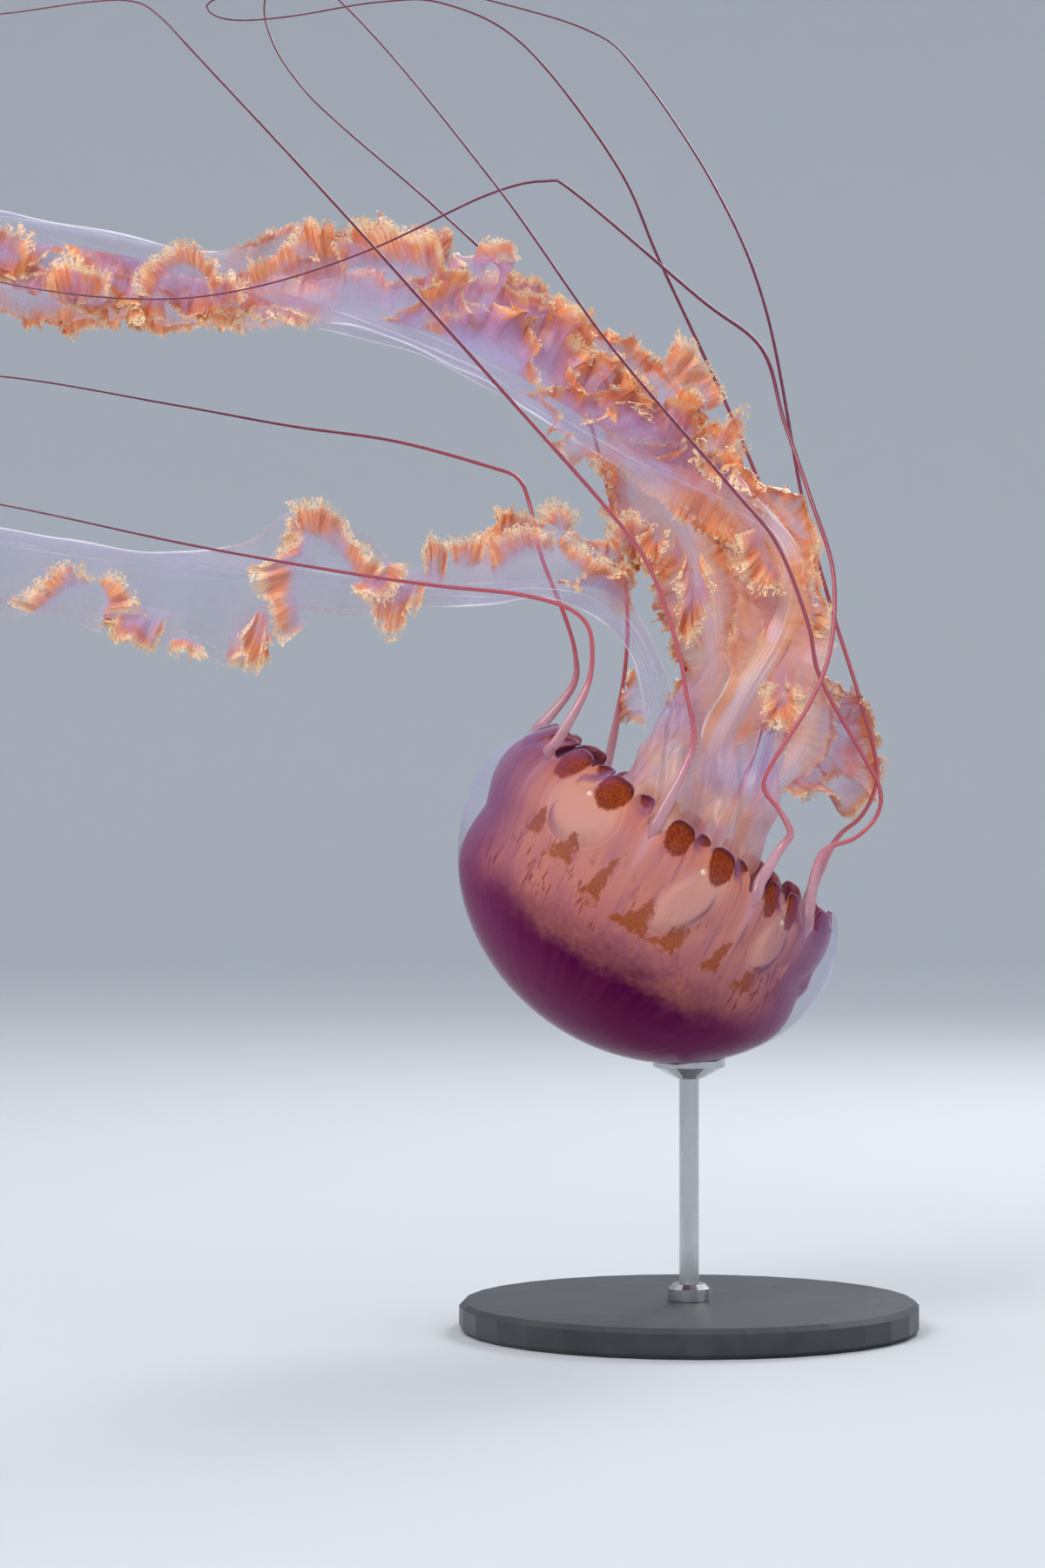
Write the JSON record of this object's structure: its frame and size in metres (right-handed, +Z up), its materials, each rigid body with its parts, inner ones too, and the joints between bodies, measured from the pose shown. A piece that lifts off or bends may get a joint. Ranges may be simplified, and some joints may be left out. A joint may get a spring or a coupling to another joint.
{
  "type": "sea nettle jellyfish (young purple-striped jelly, Chrysaora colorata), museum model on a stand",
  "caption": "Life-size still model of a young purple-striped sea nettle swimming bell down, its frilled oral arms and thin tentacles trailing to one side, on a round base with a short rod.",
  "frame": {"origin": "centre of the underside of the stand's round base", "axes": "+Z up, the visitor stands at -Y, the arms and tentacles trail towards -X"},
  "size_m": [0.6781, 0.28, 0.9053],
  "materials": {
    "bell_purple": "wet translucent jelly, deep plum",
    "bell_rose": "wet translucent jelly, rose with red-brown lappets",
    "arm_apricot": "thin translucent lilac leaves with apricot frills",
    "tentacle_red": "smooth dark red",
    "stand_paint": "satin charcoal paint",
    "stand_steel": "brushed"
  },
  "bodies": {
    "root": {"arm_front_1": "arm_apricot", "arm_front_2": "arm_apricot", "arm_front_3": "arm_apricot", "arm_front_4": "arm_apricot", "arm_front_5": "arm_apricot", "arm_lower_1": "arm_apricot", "arm_lower_2": "arm_apricot", "arm_lower_3": "arm_apricot", "arm_lower_4": "arm_apricot", "arm_rear_1": "arm_apricot", "arm_rear_2": "arm_apricot", "arm_rear_3": "arm_apricot", "arm_rear_4": "arm_apricot", "arm_side_1": "arm_apricot", "arm_side_2": "arm_apricot", "arm_side_3": "arm_apricot", "bell_dome": "bell_purple", "bell_margin": "bell_rose", "manubrium": "arm_apricot", "stand_base": "stand_paint", "stand_collar": "stand_steel", "stand_cup": "stand_steel", "stand_rod": "stand_steel", "tentacle_front_1": "tentacle_red", "tentacle_front_2": "tentacle_red", "tentacle_front_3": "tentacle_red", "tentacle_front_left_1": "tentacle_red", "tentacle_front_left_2": "tentacle_red", "tentacle_front_left_3": "tentacle_red", "tentacle_front_right_1": "tentacle_red", "tentacle_front_right_2": "tentacle_red", "tentacle_front_right_3": "tentacle_red", "tentacle_front_right_4": "tentacle_red", "tentacle_front_right_5": "tentacle_red", "tentacle_left_1": "tentacle_red", "tentacle_left_2": "tentacle_red", "tentacle_left_3": "tentacle_red", "tentacle_rear_1": "tentacle_red", "tentacle_rear_2": "tentacle_red", "tentacle_rear_3": "tentacle_red", "tentacle_rear_4": "tentacle_red", "tentacle_rear_left_1": "tentacle_red", "tentacle_rear_left_2": "tentacle_red", "tentacle_rear_left_3": "tentacle_red", "tentacle_rear_right_1": "tentacle_red", "tentacle_rear_right_2": "tentacle_red", "tentacle_rear_right_3": "tentacle_red", "tentacle_rear_right_4": "tentacle_red", "tentacle_right_1": "tentacle_red", "tentacle_right_2": "tentacle_red", "tentacle_right_3": "tentacle_red", "tentacle_right_4": "tentacle_red"}
  },
  "joints": []
}
